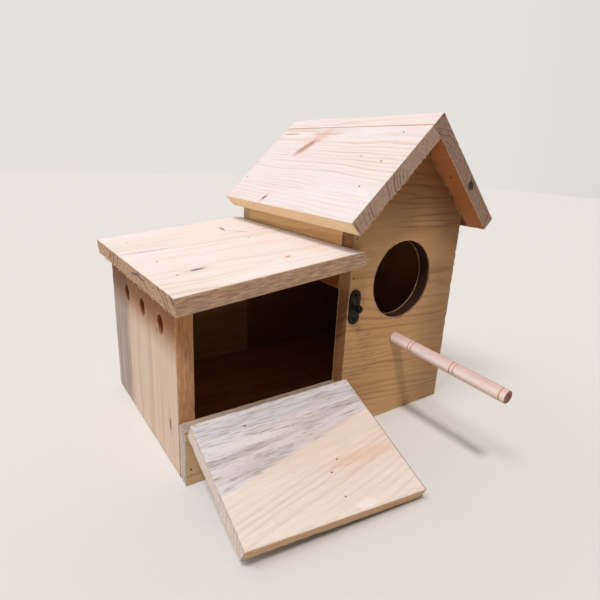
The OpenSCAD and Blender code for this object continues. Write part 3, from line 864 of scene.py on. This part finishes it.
add_piece("brads", head_mesh, steel)

fibre = Graph("torn_fibre")
fibre_place = fibre.node("ShaderNodeTexCoord").outputs["Object"]
fibre_tone = fibre.mix(fibre.noise(fibre_place, (700, 700, 700), 2.0), (242, 224, 198), (206, 174, 140))
straw = fibre.finish(fibre_tone, 0.75, fibre.noise(fibre_place, (2500, 2500, 2500), 2.0), specular=0.15)

EAR_FIBRES, EAR_MM = 80, 5.2      # fibres torn out of the ear, which is this long
SLAB_FIBRES, LOW_FIBRES = 70, 60  # fibres along a gable board's front, and the low roof's end
LAP_MM = 13.0                     # the lap at the ridge, which hides the top of the arris

ear_lo, ear_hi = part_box("box_roof")
slivers = []
for _ in range(EAR_FIBRES):
    up_share = rng.uniform(0.04, 0.96)
    reach = EAR_MM - 18.0 * (up_share - 0.4) ** 2     # longest a little below the middle
    base = np.array([ear_hi.x - EAR_MM * MM, ear_lo.y + rng.uniform(0.4, BOARD_MM) * MM, 0.0])
    base = on_low_roof(base) - np.array([0, 0, (1 - up_share) * 11.6 * MM])
    way = unit(low_along + np.array([0, rng.normal(0, 0.10), rng.normal(0, 0.10)]))
    slivers.append((base, base + way * (max(2.2, reach + 3.0) + rng.uniform(-1.5, 1.0)) * MM,
                    rng.uniform(0.3, 0.8) * MM, rng.uniform(0.05, 0.15) * MM))


def fuzz(start, stop, count, ways, length=(0.4, 1.2), wide=(0.12, 0.26)):
    """Short torn fibres scattered along an arris."""
    for _ in range(count):
        base = start + (stop - start) * rng.uniform(0.02, 0.98)
        way = unit(sum(np.array(w, float) * rng.uniform(0.2, 1.0) for w in ways) + rng.normal(0, 0.25, 3))
        slivers.append((base - way * 0.3 * MM, base + way * rng.uniform(*length) * MM,
                        rng.uniform(*wide) * MM, 0.04 * MM))


slab_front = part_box("roof_slab_left")[0].y
for node, out, down in (("roof_slab_left", left_out, down_left), ("roof_slab_right", right_out, down_right)):
    points = points_of(node)
    inner = float(np.min(points @ out))
    top, foot = float(np.min(points @ down)), float(np.max(points @ down))
    a = out * inner + down * (top + LAP_MM * MM)
    b = out * inner + down * foot
    a[1] = b[1] = slab_front
    fuzz(a, b, SLAB_FIBRES, (-out, (0, -0.6, 0)))
left_end = points_of("box_roof")
left_low = left_end[left_end @ low_along < (left_end @ low_along).min() + 0.2 * MM]
edge_low = left_low[left_low @ low_out < (left_low @ low_out).min() + 0.2 * MM]
edge_a, edge_b = edge_low[edge_low[:, 1].argmin()], edge_low[edge_low[:, 1].argmax()]
fuzz(edge_a, edge_b, LOW_FIBRES, (-low_out,), (0.5, 1.4))
spikes("torn_fibres", slivers, straw)

# ------------------------------------------------------------------ floor and light
FLOOR_TONE = (0.64, 0.62, 0.59, 1)
BACKDROP_TONE = (0.78, 0.76, 0.73, 1)    # the studio behind the object, as the camera sees it
ROOM_TONE = (0.225, 0.19, 0.15, 1)       # the dimmer room behind the camera
FLOOR_HALF = 4.0                         # metres

floor_mesh = bpy.data.meshes.new("floor")
floor_mesh.from_pydata([(x * FLOOR_HALF, y * FLOOR_HALF, 0) for x, y in ((-1, -1), (1, -1), (1, 1), (-1, 1))],
                       [], [(0, 1, 2, 3)])
floor = bpy.data.objects.new("floor", floor_mesh)
scene.collection.objects.link(floor)
floor.location.z = -0.0001   # a hair below the boards that stand on it
paint = Graph("floor")
floor_mesh.materials.append(paint.finish(FLOOR_TONE, 0.8, 0.0, specular=0.1))

scene.view_settings.view_transform = "Standard"
world = bpy.data.worlds.new("studio")
scene.world = world
world.use_nodes = True
sky = world.node_tree
sky.nodes.clear()
direction = sky.nodes.new("ShaderNodeTexCoord")
compass = sky.nodes.new("ShaderNodeSeparateXYZ")
behind = sky.nodes.new("ShaderNodeMapRange")
behind.interpolation_type = "SMOOTHSTEP"
behind.inputs["From Min"].default_value = -0.5
behind.inputs["From Max"].default_value = 0.6
blend = sky.nodes.new("ShaderNodeMix")
blend.data_type = "RGBA"
blend.inputs[6].default_value = ROOM_TONE
blend.inputs[7].default_value = BACKDROP_TONE
glow = sky.nodes.new("ShaderNodeBackground")
sky_out = sky.nodes.new("ShaderNodeOutputWorld")
for a, b in ((direction.outputs["Generated"], compass.inputs[0]), (compass.outputs["Y"], behind.inputs[0]),
             (behind.outputs[0], blend.inputs[0]), (blend.outputs[2], glow.inputs[0]),
             (glow.outputs[0], sky_out.inputs[0])):
    sky.links.new(a, b)


def lamp(name, towards, strength, softness, tone):
    """A far studio light: even over the object and the floor, with soft-edged shadows."""
    light = bpy.data.objects.new(name, bpy.data.lights.new(name, "SUN"))
    light.data.energy = strength
    light.data.angle = math.radians(softness)
    light.data.color = tone
    scene.collection.objects.link(light)
    light.matrix_world = Vector(towards).to_track_quat("Z", "Y").to_matrix().to_4x4()


lamp("left_key", (-0.80, -0.10, 1.35), 0.92, 16.0, (0.97, 0.99, 1.10))
lamp("front_key", (-0.46, -0.44, 1.32), 1.95, 9.0, (1.0, 0.97, 0.96))
